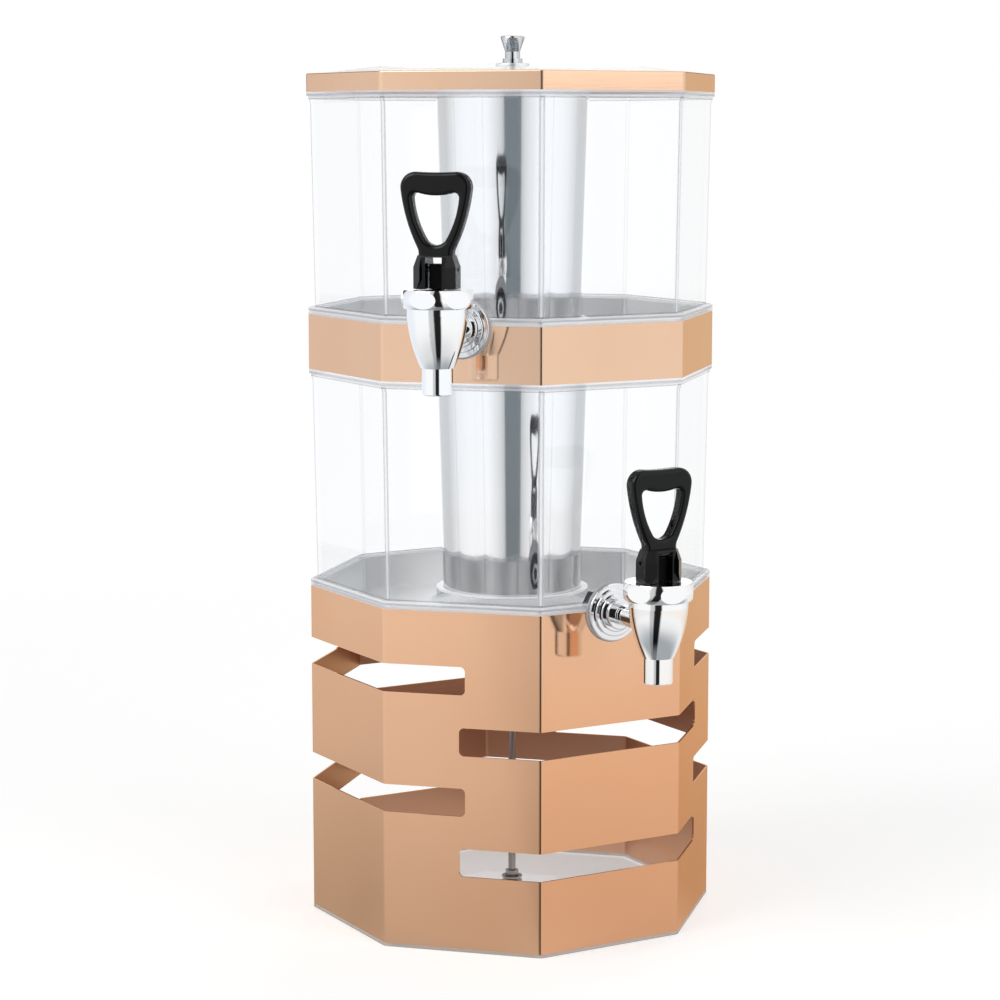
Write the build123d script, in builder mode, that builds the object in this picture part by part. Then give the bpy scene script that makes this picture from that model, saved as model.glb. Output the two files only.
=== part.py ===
# Two-tier octagonal beverage dispenser with two lever faucets, in millimetres.
# The origin is on the axis at the table, +Z is up, and the upper faucet's face looks along -Y.
import os
from math import atan, cos, degrees, pi, radians, sin, tan

from build123d import *

# Octagon shared by the sleeve, the bands and the flanges
across_flats = 254.0
side_count = 8
face_turn = 360 / side_count
upper_face_angle = -90.0
lower_face_angle = upper_face_angle + face_turn

# Copper-coloured sheet
sheet = 1.2
bend_radius = 4.5
sleeve_height = 221.3
band_height = 36.4
lid_band_height = 12.0

# Slots in the base sleeve, each half a face, one face and half a face long
slot_height = 18.4
slot_pitch = 39.8
slot_rows = 4
first_slot_height = 57.3
slot_overrun = 2.0
slot_corner = 3.3
slot_reach = 4.0

# Clear tray under the sleeve
tray_flange = 2.2
tray_rise = 16.0
tray_wall = 2.5
tray_clearance = 0.5

# Clear tub, the same in both tiers
tier_gap = 146.5
tub_foot_inset = 4.2
tub_top_inset = 1.9
tub_wall = 2.8
tub_corner = 6.0
sump_inset = 4.8
sump_depth = 20.0
floor_thickness = 2.6
shoulder_flange = 2.4
rim_flange = 2.7
rim_upstand = 6.0
rim_flare = 4.0
flare_inset = 0.7

# Polished ice tube
tube_foot_radius = 46.7
tube_spread = 4.8
tube_sheet = 0.9
tube_foot_round = 1.0
tube_above_rim = 7.5

# Stepped ring on the tub floor that holds the ice tube
tube_clearance = 0.5
ring_wall = 4.3
ring_step = 4.5
ring_step_height = 5.0
ring_seat_height = 12.2
ring_lip = 2.0

# Clear trim on the copper edge, and the steel pan under the sump
trim_height = 1.8
trim_lip_depth = 4.0
trim_lip_thickness = 1.5
trim_clearance = 0.3
pan_sheet = 0.8
pan_clearance = 0.4
pan_floor_clearance = 0.3
pan_rim_inset = 1.0

# Tie rod between the lower pan and the tray
rod_radius = 2.5
rod_clearance = 0.3
rod_tail = 4.0
rod_collar_radius = 8.0
rod_collar_height = 5.0
rod_nut_across = 8.0
rod_nut_height = 4.0
rod_washer_radius = 7.0
rod_washer_thickness = 1.0

# Lid
lid_hem = 7.0
lid_edge_round = 1.0
panel_flange = 2.4
panel_clearance = 0.5
panel_rise = 5.0
plateau_inset = 44.5
skirt_drop = 5.0
skirt_clearance = 1.6
skirt_wall = 2.2

# Knob on the lid
knob_height = 17.9
knob_top_radius = 8.6
knob_neck_radius = 5.0
knob_neck_height = 7.5
knob_ring_radius = 6.6
knob_foot_height = 3.0
knob_edge_round = 1.2
knob_flange_radius = 11.6
knob_flange_thickness = 2.0
screw_radius = 2.0
screw_clearance = 0.05
screw_grip = 8.0
screw_head_radius = 4.5
screw_head_height = 2.6

# Where the faucet goes through the tub
shank_below_edge = 1.5
shank_radius = 7.0
shank_wall = 2.8
shank_clearance = 0.4
boss_wall = 6.5
boss_depth = 11.0
notch_clearance = 0.5
notch_depth = 12.0
faucet_reach = 53.6

# Escutcheon rings and nuts on the shank
thread_clearance = 0.05
outer_washer_radius = 19.6
outer_washer_thickness = 1.0
escutcheon_radii = (18.8, 15.4, 12.2)
escutcheon_steps = (2.4, 1.8, 1.8)
escutcheon_round = 0.8
hex_sides = 6
collar_nut_radius = 10.2
collar_nut_thickness = 4.0
inner_washer_radius = 13.0
inner_washer_thickness = 1.5
lock_nut_across = 22.0
lock_nut_thickness = 6.5
shank_tail = 2.0

# Faucet body, heights measured from the shank axis
body_top = 16.0
body_radius = 18.75
body_land = 4.0
body_waist_radius = 15.8
body_waist_height = -6.0
body_foot_radius = 10.3
body_foot_height = -20.5
spout_radius = 9.6
spout_wall = 2.0
spout_end = -37.2
spout_round = 1.0
chamber_radius = 10.5
seat_height = -11.0
seat_bore = 5.5
seat_web = 4.0
bonnet_bore = 13.5
bonnet_ledge = 5.0

# Barrel-shaped bonnet with six wrench flats
bonnet_across = 42.6
bonnet_height = 11.5
bonnet_crest = 1.6
bonnet_crown = 0.3
bonnet_turn = 22.0
spigot_clearance = 0.1
seal_thickness = 1.5
pocket_clearance = 0.8
pocket_roof = 7.0

# Stem, seat plug and spring
stem_radius = 2.85
stem_clearance = 0.1
stem_tail = 5.0
stem_collar_radius = 6.2
stem_collar_thickness = 1.5
stem_collar_height = 6.8
stem_head_width = 8.0
stem_head_depth = 6.5
stem_head_rise = 3.4
plug_radius = 8.0
plug_height = 7.0
plug_round = 1.5
spring_wire = 1.0
spring_inset = 0.6

# Handle: yoke, pin and loop
pin_rise = 12.0
pin_radius = 1.5
pin_inset = 1.5
pin_clearance = 0.05
yoke_gap = 0.3
yoke_width = 26.8
yoke_depth = 22.0
yoke_height = 20.3
yoke_chamfer = 5.5
yoke_slope_height = 7.1
yoke_slope_inset = 2.4
cam_round = 2.0
head_clearance = 1.2
head_room = 4.1
yoke_recess_width = 16.0
yoke_recess_depth = 3.0
yoke_recess_flare = 2.6
yoke_recess_flare_height = 5.5
loop_sink = 4.3
loop_top = 99.4
loop_width = 45.8
loop_neck_width = 21.8
loop_neck_rise = 3.0
loop_neck_round = 7.0
loop_depth = 10.0
loop_dip = 1.4
loop_corner = 9.5
loop_bulge = 3.0
loop_edge_round = 2.8
hole_width = 29.6
hole_top_below = 12.4
hole_sag = 3.0
hole_bottom_above = 6.2
hole_bottom_width = 12.0
hole_bottom_rise = 2.6
hole_bulge = 1.9
hole_corner = 3.0

# Heights of the stack, from the table up
half_across = across_flats / 2
face_side = across_flats * tan(pi / side_count)
sleeve_foot = tray_flange
sleeve_edge = sleeve_foot + sleeve_height
band_foot = sleeve_edge + tier_gap
band_edge = band_foot + band_height
lid_foot = band_edge + tier_gap
lid_edge = lid_foot + lid_band_height
plateau = lid_edge + panel_rise
shoulder_rise = trim_height + pan_sheet
floor_drop = sump_depth - shoulder_rise
pan_drop = floor_drop + floor_thickness + pan_floor_clearance
tube_length = floor_drop - ring_seat_height + tier_gap + tube_above_rim

# Widths and radii that follow from the ones above
tub_foot_across = across_flats - 2 * tub_foot_inset
tub_top_across = across_flats - 2 * tub_top_inset
sump_across = across_flats - 2 * sump_inset
flare_across = across_flats - 2 * flare_inset
pan_rim_across = across_flats - 2 * pan_rim_inset
plateau_across = across_flats - 2 * plateau_inset
tube_top_radius = tube_foot_radius + tube_spread
seat_radius = tube_foot_radius + tube_clearance
ring_radius = seat_radius + ring_wall
ring_step_radius = ring_radius + ring_step
boss_radius = shank_radius + boss_wall
shank_bore = shank_radius - shank_wall
thread_bore = shank_radius + thread_clearance
spout_bore = spout_radius - spout_wall
spring_pocket_radius = stem_collar_radius + pocket_clearance
spring_radius = stem_collar_radius - spring_inset
screw_hole = screw_radius + screw_clearance

# Heights on the faucet, from the shank axis up
bonnet_top = body_top + bonnet_height
spigot_foot = bonnet_ledge + seal_thickness
pocket_top = bonnet_top - pocket_roof
plug_top = seat_height + plug_height
collar_top = stem_collar_height + stem_collar_thickness
pin_height = bonnet_top + pin_rise
yoke_foot = bonnet_top + yoke_gap
yoke_top = yoke_foot + yoke_height
yoke_slot_width = stem_head_width + 2 * head_clearance
yoke_slot_height = pin_rise - yoke_gap + stem_head_rise + head_room


def octagon(across, corner, mode=Mode.ADD):
    # an octagon with flats square to X and Y and rounded corners
    with BuildSketch(mode=Mode.PRIVATE) as outline:
        RegularPolygon(across / 2, side_count, major_radius=False, rotation=face_turn / 2)
        fillet(outline.vertices(), corner)
    add(outline.sketch_local, mode=mode)


def face_plane(angle, height):
    # the outer face of the octagon at an angle, looking outwards, with its second axis up
    out = (cos(radians(angle)), sin(radians(angle)), 0)
    along = (-out[1], out[0], 0)
    return Plane(origin=(half_across * out[0], half_across * out[1], height), x_dir=along, z_dir=out)


def faucet_notch(angle, edge):
    # what is cut from a copper edge, a trim or a pan to open it, up to its top, round the tub's faucet boss
    radius = boss_radius + notch_clearance
    with BuildPart() as notch:
        with BuildSketch(face_plane(angle, edge - shank_below_edge)):
            Circle(radius)
            with Locations((0, radius)):
                Rectangle(2 * radius, 2 * radius)
        extrude(amount=notch_depth, both=True)
    return notch.part


def wrap_slot(angle, height):
    # what is cut for one slot over a whole face and half of the face on each side of it
    length = face_side / 2 + slot_reach + slot_overrun
    with BuildPart() as slot:
        with BuildSketch(face_plane(angle, height)):
            Rectangle(face_side + 2 * slot_reach, slot_height)
        extrude(amount=slot_reach, both=True)
        for side in (-1, 1):
            with BuildSketch(face_plane(angle + side * face_turn, height)) as half_slot:
                with Locations((side * (slot_overrun - length / 2), 0)):
                    Rectangle(length, slot_height)
                by_x = half_slot.vertices().sort_by(Axis.X)
                fillet(by_x[-2:] if side > 0 else by_x[:2], slot_corner)
            extrude(amount=slot_reach, both=True)
    return slot.part


def save(piece, node):
    piece.part.label = node
    export_step(piece.part, f"parts/{node}.step")


def build_trim(node, edge, angle):
    # clear edging on a copper edge, with a lip inside the sheet
    lip_across = across_flats - 2 * (sheet + trim_clearance)
    inside_across = lip_across - 2 * trim_lip_thickness
    with BuildPart() as trim:
        with BuildSketch(Plane.XY.offset(edge)):
            octagon(across_flats, bend_radius)
        extrude(amount=trim_height)
        with BuildSketch(Plane.XY.offset(edge)):
            octagon(lip_across, bend_radius - sheet)
        extrude(amount=-trim_lip_depth)
        with BuildSketch(Plane.XY.offset(edge - trim_lip_depth)):
            octagon(inside_across, bend_radius)
        extrude(amount=trim_lip_depth + trim_height, mode=Mode.SUBTRACT)
        add(faucet_notch(angle, edge), mode=Mode.SUBTRACT)
    save(trim, node)


def build_pan(node, edge, angle):
    # steel pan that hangs from the trim, carries the tub by its shoulder and clears its sump
    rim_foot = edge + trim_height
    inside_across = sump_across + 2 * pan_clearance
    with BuildPart() as pan:
        with BuildSketch(Plane.XY.offset(rim_foot)):
            octagon(pan_rim_across, tub_corner)
        extrude(amount=pan_sheet)
        with BuildSketch(Plane.XY.offset(rim_foot)):
            octagon(inside_across + 2 * pan_sheet, tub_corner)
        extrude(amount=-(trim_height + pan_drop + pan_sheet))
        with BuildSketch(Plane.XY.offset(edge - pan_drop)):
            octagon(inside_across, tub_corner - pan_sheet)
        extrude(amount=pan_drop + shoulder_rise, mode=Mode.SUBTRACT)
        add(faucet_notch(angle, edge), mode=Mode.SUBTRACT)
    save(pan, node)


def build_tub(node, edge, angle):
    # clear tub: drafted walls, shoulder flange on the copper, sump below it, rim flange and upstand above
    shoulder = edge + shoulder_rise
    rim = edge + tier_gap - rim_flange
    floor = edge - floor_drop
    draft = degrees(atan((tub_top_across - tub_foot_across) / 2 / (rim - shoulder)))
    floor_across = tub_foot_across - 2 * tub_wall - 2 * tan(radians(draft)) * sump_depth
    flare_draft = degrees(atan((flare_across - tub_top_across) / 2 / rim_flare))
    shank = face_plane(angle, edge - shank_below_edge)
    with BuildPart() as tub:
        with BuildSketch(Plane.XY.offset(shoulder)):
            octagon(tub_foot_across, tub_corner)
        extrude(amount=rim - shoulder, taper=-draft)
        with BuildSketch(Plane.XY.offset(shoulder)):
            octagon(sump_across, tub_corner)
        extrude(amount=-(sump_depth + floor_thickness))
        with BuildSketch(Plane.XY.offset(shoulder)):
            octagon(across_flats, bend_radius)
        extrude(amount=shoulder_flange)
        with BuildSketch(Plane.XY.offset(rim)):
            octagon(flare_across, tub_corner)
        extrude(amount=-rim_flare, taper=flare_draft)
        with BuildSketch(Plane.XY.offset(rim)):
            octagon(across_flats, bend_radius)
        extrude(amount=rim_flange)
        with BuildSketch(Plane.XY.offset(rim)):
            octagon(tub_top_across, tub_corner)
        extrude(amount=rim_flange + rim_upstand)
        with BuildSketch(Plane.XY.offset(floor)):
            octagon(floor_across, tub_corner - tub_wall)
        extrude(amount=rim + rim_flange + rim_upstand - floor, taper=-draft, mode=Mode.SUBTRACT)
        with BuildSketch(Plane.XY.offset(floor)):
            Circle(ring_step_radius)
        extrude(amount=ring_step_height)
        with BuildSketch(Plane.XY.offset(floor)):
            Circle(ring_radius)
        extrude(amount=ring_seat_height + ring_lip)
        with BuildSketch(Plane.XY.offset(floor + ring_seat_height)):
            Circle(seat_radius)
        extrude(amount=ring_lip, mode=Mode.SUBTRACT)
        with BuildSketch(shank):
            Circle(boss_radius)
        extrude(amount=-boss_depth)
        with BuildSketch(shank):
            Circle(shank_radius + shank_clearance)
        extrude(amount=-boss_depth, mode=Mode.SUBTRACT)
    save(tub, node)


def build_tube(node, edge):
    # tapered steel cup for ice, closed at its foot
    foot = edge - floor_drop + ring_seat_height
    top = foot + tube_length
    with BuildPart() as tube:
        with BuildSketch(Plane.XZ):
            with BuildLine():
                Polyline(
                    (0, foot),
                    (tube_foot_radius, foot),
                    (tube_top_radius, top),
                    (tube_top_radius - tube_sheet, top),
                    (tube_foot_radius - tube_sheet, foot + tube_sheet),
                    (0, foot + tube_sheet),
                    close=True,
                )
            make_face()
        revolve(axis=Axis.Z)
        fillet(tube.edges().filter_by(GeomType.CIRCLE).group_by(Axis.Z)[0], tube_foot_round)
    save(tube, node)


def disc(plane, radius, bore, thickness):
    # a round washer or ring on a plane, built along the plane's normal
    with BuildPart() as ring:
        with BuildSketch(plane):
            Circle(radius)
            Circle(bore, mode=Mode.SUBTRACT)
        extrude(amount=thickness)
    return ring.part


def rounded_disc(plane, radius, bore, thickness):
    # the same with a rounded rim on the side away from the plane
    with BuildPart() as ring:
        add(disc(plane, radius, bore, thickness))
        front = ring.faces().filter_by(GeomType.PLANE).sort_by(Axis(plane.origin, plane.z_dir))[-1]
        fillet(front.outer_wire().edges(), escutcheon_round)
    return ring.part


def build_handle():
    # the loop handle on its yoke, about the faucet's centre: X along the wall, Y up, Z out of the wall
    level = Plane(origin=(0, 0, 0), x_dir=(0, 0, 1), z_dir=(0, 1, 0))
    pin_plane = Plane(origin=(0, pin_height, 0), x_dir=(0, 0, 1), z_dir=(1, 0, 0))
    loop_foot = yoke_top - loop_sink
    neck_top = yoke_top + loop_neck_rise
    half_width = loop_width / 2
    half_neck = loop_neck_width / 2
    half_hole = hole_width / 2
    half_bottom = hole_bottom_width / 2
    hole_top = loop_top - hole_top_below
    hole_bottom = yoke_top + hole_bottom_above
    with BuildPart() as yoke:
        with BuildSketch(level.offset(yoke_foot)) as plan:
            Rectangle(yoke_depth, yoke_width)
            chamfer(plan.vertices(), yoke_chamfer)
        extrude(amount=yoke_height - yoke_slope_height)
        slope = degrees(atan(yoke_slope_inset / yoke_slope_height))
        extrude(yoke.faces().sort_by(Axis.Y)[-1], amount=yoke_slope_height, taper=slope)
        # the lower front and back edges roll on the bonnet when the handle is tipped
        fillet(yoke.faces().sort_by(Axis.Y)[0].edges().filter_by(Axis.X), cam_round)
    with BuildPart() as handle:
        with BuildSketch() as loop:
            with BuildLine():
                shoulder = ((half_width + half_neck) / 2 + loop_bulge, (loop_top + neck_top) / 2)
                ThreePointArc((-half_width, loop_top), (0, loop_top - loop_dip), (half_width, loop_top))
                ThreePointArc((half_width, loop_top), shoulder, (half_neck, neck_top))
                Polyline((half_neck, neck_top), (half_neck, loop_foot), (-half_neck, loop_foot), (-half_neck, neck_top))
                ThreePointArc((-half_neck, neck_top), (-shoulder[0], shoulder[1]), (-half_width, loop_top))
            make_face()
            fillet(loop.vertices().group_by(Axis.Y)[-1], loop_corner)
            fillet(loop.vertices().group_by(Axis.Y)[1], loop_neck_round)
            with BuildSketch(mode=Mode.PRIVATE) as finger_hole:
                with BuildLine():
                    flank = ((half_hole + half_bottom) / 2 + hole_bulge, (hole_top + hole_bottom) / 2)
                    turn = hole_bottom + hole_bottom_rise
                    ThreePointArc((-half_hole, hole_top), (0, hole_top - hole_sag), (half_hole, hole_top))
                    ThreePointArc((half_hole, hole_top), flank, (half_bottom, turn))
                    ThreePointArc((half_bottom, turn), (0, hole_bottom), (-half_bottom, turn))
                    ThreePointArc((-half_bottom, turn), (-flank[0], flank[1]), (-half_hole, hole_top))
                make_face()
                fillet(finger_hole.vertices(), hole_corner)
            add(finger_hole.sketch_local, mode=Mode.SUBTRACT)
        extrude(amount=loop_depth / 2, both=True)
        flat_sides = handle.faces().filter_by(GeomType.PLANE).sort_by(SortBy.AREA)[-2:]
        rims = flat_sides.edges().group_by(Axis.Y)[1:]
        fillet([edge for group in rims for edge in group], loop_edge_round)
        add(yoke.part)
        with BuildSketch():
            with Locations((0, yoke_foot + yoke_slot_height / 2)):
                Rectangle(yoke_slot_width, yoke_slot_height)
        extrude(amount=yoke_depth, both=True, mode=Mode.SUBTRACT)
        with BuildSketch(Plane.XY.offset(yoke_depth / 2)):
            with BuildLine():
                half_recess = yoke_recess_width / 2
                half_flare = half_recess + yoke_recess_flare
                flare_top = yoke_foot + yoke_recess_flare_height
                recess_top = yoke_foot + yoke_slot_height
                right_side = ((half_flare, yoke_foot), (half_recess, flare_top), (half_recess, recess_top))
                left_side = ((-half_recess, recess_top), (-half_recess, flare_top), (-half_flare, yoke_foot))
                Polyline(*right_side, *left_side, close=True)
            make_face()
        extrude(amount=-yoke_recess_depth, mode=Mode.SUBTRACT)
        with BuildSketch(pin_plane):
            Circle(pin_radius + pin_clearance)
        extrude(amount=yoke_width, both=True, mode=Mode.SUBTRACT)
    return handle.part


def build_faucet(name, edge, angle):
    # one self-closing lever faucet, with its shank through the tub's boss
    out = Vector(cos(radians(angle)), sin(radians(angle)), 0)
    along = Vector(-out.Y, out.X, 0)
    up = Vector(0, 0, 1)
    centre = out * (half_across + faucet_reach) + up * (edge - shank_below_edge)
    level = Plane(origin=centre, x_dir=out, z_dir=up)
    upright = Plane(origin=centre, x_dir=out, z_dir=-along)
    facing = Plane(origin=centre, x_dir=along, z_dir=out)
    wall = facing.offset(-faucet_reach)
    inside = wall.offset(-boss_depth)
    stem_axis = Axis(centre, up)
    shank_length = faucet_reach + boss_depth + inner_washer_thickness + lock_nut_thickness + shank_tail
    pin_plane = Plane(origin=centre + up * pin_height, x_dir=out, z_dir=along)

    with BuildPart() as body:
        with BuildSketch(upright):
            with BuildLine():
                land = (body_radius, body_top - body_land)
                waist = (body_waist_radius, body_waist_height)
                foot = (body_foot_radius, body_foot_height)
                Polyline((0, body_top), (body_radius, body_top), land)
                ThreePointArc(land, waist, foot)
                Polyline(foot, (spout_radius, body_foot_height), (spout_radius, spout_end))
                Polyline((spout_radius, spout_end), (0, spout_end), (0, body_top))
            make_face()
        revolve(axis=stem_axis)
        fillet(body.edges().filter_by(GeomType.CIRCLE).group_by(Axis.Z)[0], spout_round)
        with BuildSketch(facing):
            Circle(shank_radius)
        extrude(amount=-shank_length)
        with BuildSketch(upright):
            with BuildLine():
                Polyline(
                    (0, body_top),
                    (bonnet_bore, body_top),
                    (bonnet_bore, bonnet_ledge),
                    (chamber_radius, bonnet_ledge),
                    (chamber_radius, seat_height),
                    (seat_bore, seat_height),
                    (seat_bore, seat_height - seat_web),
                    (spout_bore, body_foot_height),
                    (spout_bore, spout_end),
                    (0, spout_end),
                    close=True,
                )
            make_face()
        revolve(axis=stem_axis, mode=Mode.SUBTRACT)
        with BuildSketch(facing):
            Circle(shank_bore)
        extrude(amount=-shank_length, mode=Mode.SUBTRACT)
    save(body, f"{name}_faucet_body")

    with BuildPart() as bonnet:
        with BuildSketch(level.offset(body_top)):
            RegularPolygon(bonnet_across / 2, hex_sides, major_radius=False, rotation=bonnet_turn)
        extrude(amount=bonnet_height)
        with BuildSketch(upright):
            with BuildLine():
                crown = bonnet_across / 2 - bonnet_crown
                crest = bonnet_across / 2 + bonnet_crest
                ThreePointArc((crown, body_top), (crest, (body_top + bonnet_top) / 2), (crown, bonnet_top))
                Polyline((crown, bonnet_top), (0, bonnet_top), (0, body_top), (crown, body_top))
            make_face()
        revolve(axis=stem_axis, mode=Mode.INTERSECT)
        with BuildSketch(level.offset(spigot_foot)):
            Circle(bonnet_bore - spigot_clearance)
        extrude(amount=body_top - spigot_foot)
        with BuildSketch(level.offset(spigot_foot)):
            Circle(spring_pocket_radius)
        extrude(amount=pocket_top - spigot_foot, mode=Mode.SUBTRACT)
        with BuildSketch(level.offset(spigot_foot)):
            Circle(stem_radius + stem_clearance)
        extrude(amount=bonnet_top - spigot_foot, mode=Mode.SUBTRACT)
    save(bonnet, f"{name}_faucet_bonnet")

    with BuildPart() as bonnet_seal:
        add(disc(level.offset(bonnet_ledge), bonnet_bore - spigot_clearance, chamber_radius, seal_thickness))
    save(bonnet_seal, f"{name}_faucet_bonnet_seal")

    with BuildPart() as outer_washer:
        add(disc(wall, outer_washer_radius, thread_bore, outer_washer_thickness))
    save(outer_washer, f"{name}_faucet_outer_washer")

    with BuildPart() as escutcheon:
        step_foot = outer_washer_thickness
        for radius, thickness in zip(escutcheon_radii, escutcheon_steps):
            add(rounded_disc(wall.offset(step_foot), radius, thread_bore, thickness))
            step_foot += thickness
    save(escutcheon, f"{name}_faucet_escutcheon")

    with BuildPart() as collar_nut:
        add(rounded_disc(wall.offset(step_foot), collar_nut_radius, thread_bore, collar_nut_thickness))
    save(collar_nut, f"{name}_faucet_collar_nut")

    with BuildPart() as inner_washer:
        add(disc(inside, inner_washer_radius, thread_bore, -inner_washer_thickness))
    save(inner_washer, f"{name}_faucet_inner_washer")

    with BuildPart() as lock_nut:
        with BuildSketch(inside.offset(-inner_washer_thickness)):
            RegularPolygon(lock_nut_across / 2, hex_sides, major_radius=False)
            Circle(thread_bore, mode=Mode.SUBTRACT)
        extrude(amount=-lock_nut_thickness)
    save(lock_nut, f"{name}_faucet_lock_nut")

    with BuildPart() as seat_plug:
        with BuildSketch(level.offset(seat_height)):
            Circle(plug_radius)
        extrude(amount=plug_height)
        fillet(seat_plug.edges().group_by(Axis.Z)[-1], plug_round)
        with BuildSketch(level.offset(plug_top)):
            Circle(stem_radius + thread_clearance)
        extrude(amount=-stem_tail, mode=Mode.SUBTRACT)
    save(seat_plug, f"{name}_faucet_seat_plug")

    with BuildPart() as stem:
        with BuildSketch(level.offset(plug_top - stem_tail)):
            Circle(stem_radius)
        extrude(amount=yoke_foot - plug_top + stem_tail)
        with BuildSketch(level.offset(stem_collar_height)):
            Circle(stem_collar_radius)
        extrude(amount=stem_collar_thickness)
        with BuildSketch(level.offset(yoke_foot)):
            Rectangle(stem_head_depth, stem_head_width)
        extrude(amount=pin_rise - yoke_gap + stem_head_rise)
        with BuildSketch(pin_plane):
            Circle(pin_radius + thread_clearance)
        extrude(amount=stem_head_width, both=True, mode=Mode.SUBTRACT)
    save(stem, f"{name}_faucet_stem")

    with BuildPart() as handle_pin:
        with BuildSketch(pin_plane):
            Circle(pin_radius)
        extrude(amount=yoke_width / 2 - pin_inset, both=True)
    save(handle_pin, f"{name}_faucet_handle_pin")

    # the spring's outer shape: a sleeve between the stem's collar and the roof of the bonnet's pocket
    with BuildPart() as spring:
        spring_length = pocket_top - collar_top
        add(disc(level.offset(collar_top), spring_radius, spring_radius - spring_wire, spring_length))
    save(spring, f"{name}_faucet_spring")

    with BuildPart() as handle:
        add(handle_shape.moved(facing.location))
    save(handle, f"{name}_faucet_handle")


os.makedirs("parts", exist_ok=True)
handle_shape = build_handle()

# Base: tray, slotted sleeve and tie rod
with BuildPart() as base_tray:
    platform_across = across_flats - 2 * (sheet + tray_clearance)
    with BuildSketch():
        octagon(across_flats, bend_radius)
    extrude(amount=tray_flange)
    with BuildSketch():
        octagon(platform_across, bend_radius)
    extrude(amount=tray_rise)
    with BuildSketch():
        octagon(platform_across - 2 * tray_wall, bend_radius)
    extrude(amount=tray_rise - tray_wall, mode=Mode.SUBTRACT)
    with BuildSketch(Plane.XY.offset(tray_rise)):
        Circle(rod_radius + rod_clearance)
    extrude(amount=-tray_wall, mode=Mode.SUBTRACT)
save(base_tray, "base_tray")

with BuildPart() as base_sleeve:
    with BuildSketch(Plane.XY.offset(sleeve_foot)):
        octagon(across_flats, bend_radius)
        octagon(across_flats - 2 * sheet, bend_radius - sheet, mode=Mode.SUBTRACT)
    extrude(amount=sleeve_height)
    for row in range(slot_rows):
        row_height = sleeve_foot + first_slot_height + row * slot_pitch
        row_angle = lower_face_angle + (row % 2) * 2 * face_turn
        for angle in (row_angle, row_angle + 180):
            add(wrap_slot(angle, row_height), mode=Mode.SUBTRACT)
    add(faucet_notch(lower_face_angle, sleeve_edge), mode=Mode.SUBTRACT)
save(base_sleeve, "base_sleeve")

tail_stack = rod_washer_thickness + rod_nut_height + rod_tail
rod_top = sleeve_edge - pan_drop - pan_sheet
with BuildPart() as tie_rod:
    with BuildSketch(Plane.XY.offset(rod_top)):
        Circle(rod_radius)
    extrude(amount=-(rod_top - tray_rise + tray_wall + tail_stack))
save(tie_rod, "tie_rod")

with BuildPart() as rod_collar:
    add(disc(Plane.XY.offset(rod_top), rod_collar_radius, rod_radius + thread_clearance, -rod_collar_height))
save(rod_collar, "rod_collar")

# one washer and one nut on each side of the tray's floor
tray_faces = ((tray_rise, 1), (tray_rise - tray_wall, -1))
with BuildPart() as rod_washers:
    for height, way in tray_faces:
        washer_plane = Plane.XY.offset(height)
        add(disc(washer_plane, rod_washer_radius, rod_radius + rod_clearance, way * rod_washer_thickness))
save(rod_washers, "rod_washers")

with BuildPart() as rod_nuts:
    for height, way in tray_faces:
        with BuildSketch(Plane.XY.offset(height + way * rod_washer_thickness)):
            RegularPolygon(rod_nut_across / 2, hex_sides, major_radius=False)
            Circle(rod_radius + thread_clearance, mode=Mode.SUBTRACT)
        extrude(amount=way * rod_nut_height)
save(rod_nuts, "rod_nuts")

# Lower tier, fixed to the base
build_trim("sleeve_trim", sleeve_edge, lower_face_angle)
build_pan("lower_pan", sleeve_edge, lower_face_angle)
build_tub("lower_tub", sleeve_edge, lower_face_angle)
build_tube("lower_ice_tube", sleeve_edge)
build_faucet("lower", sleeve_edge, lower_face_angle)

# Upper tier, standing on the lower tub's rim
with BuildPart() as mid_band:
    with BuildSketch(Plane.XY.offset(band_foot)):
        octagon(across_flats, bend_radius)
        octagon(across_flats - 2 * sheet, bend_radius - sheet, mode=Mode.SUBTRACT)
    extrude(amount=band_height)
    add(faucet_notch(upper_face_angle, band_edge), mode=Mode.SUBTRACT)
save(mid_band, "mid_band")

build_trim("band_trim", band_edge, upper_face_angle)
build_pan("upper_pan", band_edge, upper_face_angle)
build_tub("upper_tub", band_edge, upper_face_angle)
build_tube("upper_ice_tube", band_edge)
build_faucet("upper", band_edge, upper_face_angle)

# Lid: copper band with a hem turned in over the clear panel
hem_across = across_flats - 2 * (sheet + lid_hem)
hem_foot = lid_edge - sheet
with BuildPart() as lid_band:
    with BuildSketch(Plane.XY.offset(lid_foot)):
        octagon(across_flats, bend_radius)
    extrude(amount=lid_band_height)
    fillet(lid_band.faces().sort_by(Axis.Z)[-1].edges(), lid_edge_round)
    with BuildSketch(Plane.XY.offset(lid_foot)):
        octagon(across_flats - 2 * sheet, bend_radius - sheet)
    extrude(amount=lid_band_height - sheet, mode=Mode.SUBTRACT)
    with BuildSketch(Plane.XY.offset(hem_foot)):
        octagon(hem_across, bend_radius)
    extrude(amount=sheet, mode=Mode.SUBTRACT)
save(lid_band, "lid_band")

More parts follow.
